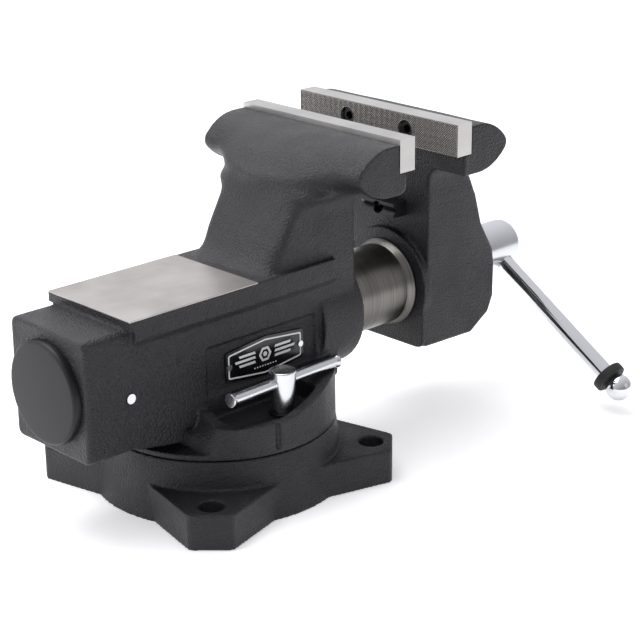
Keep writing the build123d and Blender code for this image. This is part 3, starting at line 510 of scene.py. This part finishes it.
def insert_mesh(face_x, back_x):
    """Jaw face block whose front carries crossed serrations and two counterbored holes."""
    toward = 1 if face_x > back_x else -1
    step = 0.3
    ny = int(2 * JAW_HALF / step)
    nz = int((JAW_TOP - SEAT_Z) / step)
    ys = np.linspace(-JAW_HALF, JAW_HALF, ny + 1)
    zs = np.linspace(SEAT_Z, JAW_TOP, nz + 1)
    gy, gz = np.meshgrid(ys, zs, indexing="ij")
    u = (gy + gz) / PITCH
    v = (gy - gz) / PITCH
    cut = np.minimum(np.abs(u - np.round(u)), np.abs(v - np.round(v))) * 2
    height = -DEPTH * (1 - np.clip(cut * SLOPE, 0, 1))
    border = np.minimum.reduce([JAW_HALF - np.abs(gy), gz - SEAT_Z, JAW_TOP - gz])
    height = np.where(border < EDGE, 0.0, height)
    height -= np.clip(CHAMFER - border, 0, CHAMFER)
    inside = np.zeros(gy.shape, dtype=bool)
    for hy, hz in HOLES:
        away = np.hypot(gy - hy, gz - hz)
        inner = away < HOLE_R
        deep = away < HOLE_R - step * 1.2
        inside |= deep
        near = inner & ~deep
        scale = np.where(near, HOLE_R / np.maximum(away, 1e-6), 1.0)
        gy = np.where(near, hy + (gy - hy) * scale, gy)
        gz = np.where(near, hz + (gz - hz) * scale, gz)
        height = np.where(away < HOLE_R + 0.3, 0.0, height)
    shape = bmesh.new()
    verts = {}

    def vert(i, j):
        if (i, j) not in verts:
            verts[i, j] = shape.verts.new((
                (face_x + toward * height[i, j]) * MM, gy[i, j] * MM, gz[i, j] * MM))
        return verts[i, j]

    for i in range(ny):
        for j in range(nz):
            corners = ((i, j), (i + 1, j), (i + 1, j + 1), (i, j + 1))
            keep = [c for c in corners if not inside[c]]
            if len(keep) >= 3:
                shape.faces.new([vert(*c) for c in keep])
    for face in shape.faces:
        face.material_index = 1
    # hole walls down to the screw seats
    rims = [e for e in shape.edges if len(e.link_faces) == 1]
    rims = [e for e in rims if all(abs(abs(v.co.y) - JAW_HALF * MM) > 1e-5 and SEAT_Z * MM + 1e-5 < v.co.z
                                   < JAW_TOP * MM - 1e-5 for v in e.verts)]
    made = bmesh.ops.extrude_edge_only(shape, edges=rims)
    low = [v for v in made["geom"] if isinstance(v, bmesh.types.BMVert)]
    for v in low:
        v.co.x = (back_x + toward * SCREW_SEAT) * MM
    for face in {f for v in low for f in v.link_faces}:
        face.material_index = 0
    cap_rings(shape, made, low)
    # sides and back
    outer = [e for e in shape.edges if len(e.link_faces) == 1]
    made = bmesh.ops.extrude_edge_only(shape, edges=outer)
    back = [v for v in made["geom"] if isinstance(v, bmesh.types.BMVert)]
    for v in back:
        v.co.x = back_x * MM
    for face in {f for v in back for f in v.link_faces}:
        face.material_index = 0
    cap_rings(shape, made, back)
    bmesh.ops.recalc_face_normals(shape, faces=shape.faces)
    mesh = bpy.data.meshes.new("insert")
    shape.to_mesh(mesh)
    shape.free()
    smooth_by_angle(mesh, 20.0)
    return mesh


place("static_jaw_face", insert_mesh(109.6, 95.4), "vise_body", [jaw_steel, jaw_teeth],
      ["static_jaw_insert"])
place("dynamic_jaw_face", insert_mesh(150.1, 164.3), "dynamic_jaw", [jaw_steel, jaw_teeth],
      ["dynamic_jaw_insert"])

# ---------------------------------------------------------------- nameplate
PLATE_X = 10.3
PLATE_FACE = -36.8
RELIEF = (PLATE_FACE + 0.1, PLATE_FACE - 0.12)        # back and front of the raised white ornament


def hexagon(half, low, high, low_peak, high_peak, round_r=1.0):
    """Six-sided outline in (x, z), millimetres, with softened corners."""
    corners = [(PLATE_X - half, low), (PLATE_X, low_peak), (PLATE_X + half, low),
               (PLATE_X + half, high), (PLATE_X, high_peak), (PLATE_X - half, high)]
    out = []
    for i, corner in enumerate(corners):
        before, here, after = Vector(corners[i - 1]), Vector(corner), Vector(corners[(i + 1) % 6])
        start = here + (before - here).normalized() * round_r
        end = here + (after - here).normalized() * round_r
        out += [tuple(start.lerp(here, t).lerp(here.lerp(end, t), t)) for t in (0, 0.25, 0.5, 0.75, 1)]
    return out


def prism(outline, back_y, front_y, hole=None):
    """Plate from an outline in (x, z); hole is an inner outline with as many points."""
    shape = bmesh.new()
    rings = []
    for y in (back_y, front_y):
        for line in (outline, hole) if hole else (outline,):
            rings.append([shape.verts.new((x * MM, y * MM, z * MM)) for x, z in line])
    count = len(outline)
    if hole:
        outer_back, inner_back, outer_front, inner_front = rings
        for k in range(count):
            n = (k + 1) % count
            shape.faces.new((outer_back[k], outer_back[n], inner_back[n], inner_back[k]))
            shape.faces.new((outer_front[k], outer_front[n], inner_front[n], inner_front[k]))
            shape.faces.new((outer_back[k], outer_back[n], outer_front[n], outer_front[k]))
            shape.faces.new((inner_back[k], inner_back[n], inner_front[n], inner_front[k]))
    else:
        shape.faces.new(rings[0])
        shape.faces.new(rings[1])
        for k in range(count):
            n = (k + 1) % count
            shape.faces.new((rings[0][k], rings[0][n], rings[1][n], rings[1][k]))
    bmesh.ops.recalc_face_normals(shape, faces=shape.faces)
    mesh = bpy.data.meshes.new("prism")
    shape.to_mesh(mesh)
    shape.free()
    smooth_by_angle(mesh)
    return mesh


place("nameplate_panel", prism(hexagon(33.8, 82.0, 101.9, 78.0, 105.4, 2.0), -35.6, PLATE_FACE), "vise_body",
      [plate_black], ["nameplate"])
border = prism(hexagon(31.9, 83.7, 100.1, 79.9, 103.6, 1.6), *RELIEF,
               hexagon(30.9, 84.6, 99.2, 80.9, 102.6, 1.2))
place("nameplate_border", border, "vise_body", [plate_white])


def ngon(x, z, radius, count):
    """Regular outline in (x, z)."""
    angles = [2 * math.pi * k / count for k in range(count)]
    return [(x + radius * math.cos(a), z + radius * math.sin(a)) for a in angles]


# plain ornament: a hexagon ring between stepped bars, over a row of dots
motif = [prism(ngon(PLATE_X, 93.2, 5.4, 6), *RELIEF, ngon(PLATE_X, 93.2, 3.6, 6))]
motif.append(prism(ngon(PLATE_X, 93.2, 1.7, 24), *RELIEF))
for side in (-1, 1):
    for row, reach in ((96.4, 22.0), (93.2, 25.5), (90.0, 22.0)):
        inner = PLATE_X + side * 8.2
        outer = PLATE_X + side * reach
        motif.append(prism([(inner, row - 0.85), (outer, row - 0.85), (outer + side * 0.8, row + 0.85),
                            (inner + side * 0.8, row + 0.85)], *RELIEF))
for k in range(-4, 5):
    motif.append(prism(ngon(PLATE_X + 2.3 * k, 85.4, 0.55, 12), *RELIEF))
place("nameplate_motif", join_meshes(motif), "vise_body", [plate_white])

# ---------------------------------------------------------------- finishes of the pieces kept from the CAD
black_oxide, oxide_shader = material("black_oxide", (0.035, 0.035, 0.038), metallic=0.85, roughness=0.38)
oxide_grain = noise_out(black_oxide, object_coords(black_oxide), 900.0, 2.0)
add_bump(black_oxide, oxide_shader, oxide_grain, 0.2, 0.0002)
pipe_steel, pipe_shader = material("pipe_jaw_steel", (0.16, 0.15, 0.14), metallic=1.0, roughness=0.42)
pipe_lines = noise_out(pipe_steel, object_coords(pipe_steel, (1.0, 8.0, 1.0)), 300.0, 2.0)
add_bump(pipe_steel, pipe_shader, pipe_lines, 0.25, 0.0003)
FINISHES = {
    "static_jaw_screws": black_oxide, "dynamic_jaw_screws": black_oxide, "static_pipe_jaw_screw": black_oxide,
    "dynamic_pipe_jaw_screw": black_oxide, "static_pipe_jaw": black_oxide, "dynamic_pipe_jaw": black_oxide,
    "nut_pins": zinc, "nameplate_rivets": zinc, "lead_nut": pipe_steel, "slide_key": black_oxide,
    "clamp_shoes": pipe_steel, "thrust_washer": turned_steel, "thrust_collar": turned_steel,
}
for name, finish in FINISHES.items():
    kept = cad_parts[name].data
    kept.materials.clear()
    kept.materials.append(finish)

# ---------------------------------------------------------------- camera, light and floor
CAMERA = (-0.7305, -0.8672, 0.5232)
CAMERA_YAW = 0.8100                  # radians
CAMERA_PITCH = -0.3508
CAMERA_ROLL = -0.0101
FOCAL = 102.8


def aim_camera():
    """Camera behind and to the left of the vise, looking down at its nameplate side."""
    data = bpy.data.cameras.new("camera")
    data.lens = FOCAL
    data.sensor_width = 36.0
    data.clip_start = 0.05
    cam = bpy.data.objects.new("camera", data)
    bpy.context.scene.collection.objects.link(cam)
    level = math.cos(CAMERA_PITCH)
    forward = Vector((math.cos(CAMERA_YAW) * level, math.sin(CAMERA_YAW) * level, math.sin(CAMERA_PITCH)))
    right = Vector((math.sin(CAMERA_YAW), -math.cos(CAMERA_YAW), 0))
    up = right.cross(forward)
    rolled_right = right * math.cos(CAMERA_ROLL) + up * math.sin(CAMERA_ROLL)
    rolled_up = up * math.cos(CAMERA_ROLL) - right * math.sin(CAMERA_ROLL)
    turn = Matrix((rolled_right, rolled_up, -forward)).transposed().to_4x4()
    cam.matrix_world = Matrix.Translation(Vector(CAMERA)) @ turn
    bpy.context.scene.camera = cam


aim_camera()
bpy.context.scene.view_settings.view_transform = "Standard"

floor_mesh = bpy.data.meshes.new("floor")
floor_mesh.from_pydata([(-6, -6, 0), (6, -6, 0), (6, 6, 0), (-6, 6, 0)], [], [(0, 1, 2, 3)])
floor = bpy.data.objects.new("floor", floor_mesh)
bpy.context.scene.collection.objects.link(floor)
floor_mat, floor_shader = material("floor_white", (0.92, 0.92, 0.92), roughness=0.8, specular=0.1)
floor_shader.inputs["Emission Color"].default_value = (1.0, 1.0, 1.0, 1.0)
floor_shader.inputs["Emission Strength"].default_value = 0.3
floor_mesh.materials.append(floor_mat)


WORLD_DARK = 0.20             # background strength on the camera's side and below
WORLD_BRIGHT = 1.12           # and behind and above the object


def studio_world():
    """Even studio surround, brighter behind and above the object than on the camera's side."""
    world = bpy.data.worlds.new("studio")
    bpy.context.scene.world = world
    world.use_nodes = True
    nodes = world.node_tree.nodes
    links = world.node_tree.links
    nodes["Background"].inputs["Color"].default_value = (0.955, 0.955, 1.0, 1.0)
    coords = nodes.new("ShaderNodeTexCoord")
    toward = nodes.new("ShaderNodeVectorMath")
    toward.operation = "DOT_PRODUCT"
    toward.inputs[1].default_value = (0.05, 0.80, 0.60)
    shade = nodes.new("ShaderNodeMapRange")
    shade.inputs["From Min"].default_value = -1.0
    shade.inputs["From Max"].default_value = 1.0
    shade.inputs["To Min"].default_value = WORLD_DARK
    shade.inputs["To Max"].default_value = WORLD_BRIGHT
    links.new(coords.outputs["Generated"], toward.inputs[0])
    links.new(toward.outputs["Value"], shade.inputs["Value"])
    links.new(shade.outputs["Result"], nodes["Background"].inputs["Strength"])


studio_world()


def area_light(name, where, target, size, power):
    """Rectangular lamp aimed at a point."""
    data = bpy.data.lights.new(name, "AREA")
    data.shape = "RECTANGLE"
    data.size, data.size_y = size
    data.energy = power
    lamp = bpy.data.objects.new(name, data)
    bpy.context.scene.collection.objects.link(lamp)
    lamp.location = where
    lamp.rotation_euler = (Vector(target) - Vector(where)).to_track_quat("-Z", "Y").to_euler()


area_light("key_top", (-0.1, 0.5, 1.7), (0.05, 0, 0.1), (1.6, 1.2), 24.0)
area_light("back_left", (-1.5, 0.9, 0.8), (0.0, 0, 0.12), (1.0, 1.0), 9.0)
area_light("fill_right", (0.9, -1.7, 0.7), (0.1, 0, 0.12), (1.0, 1.0), 1.0)
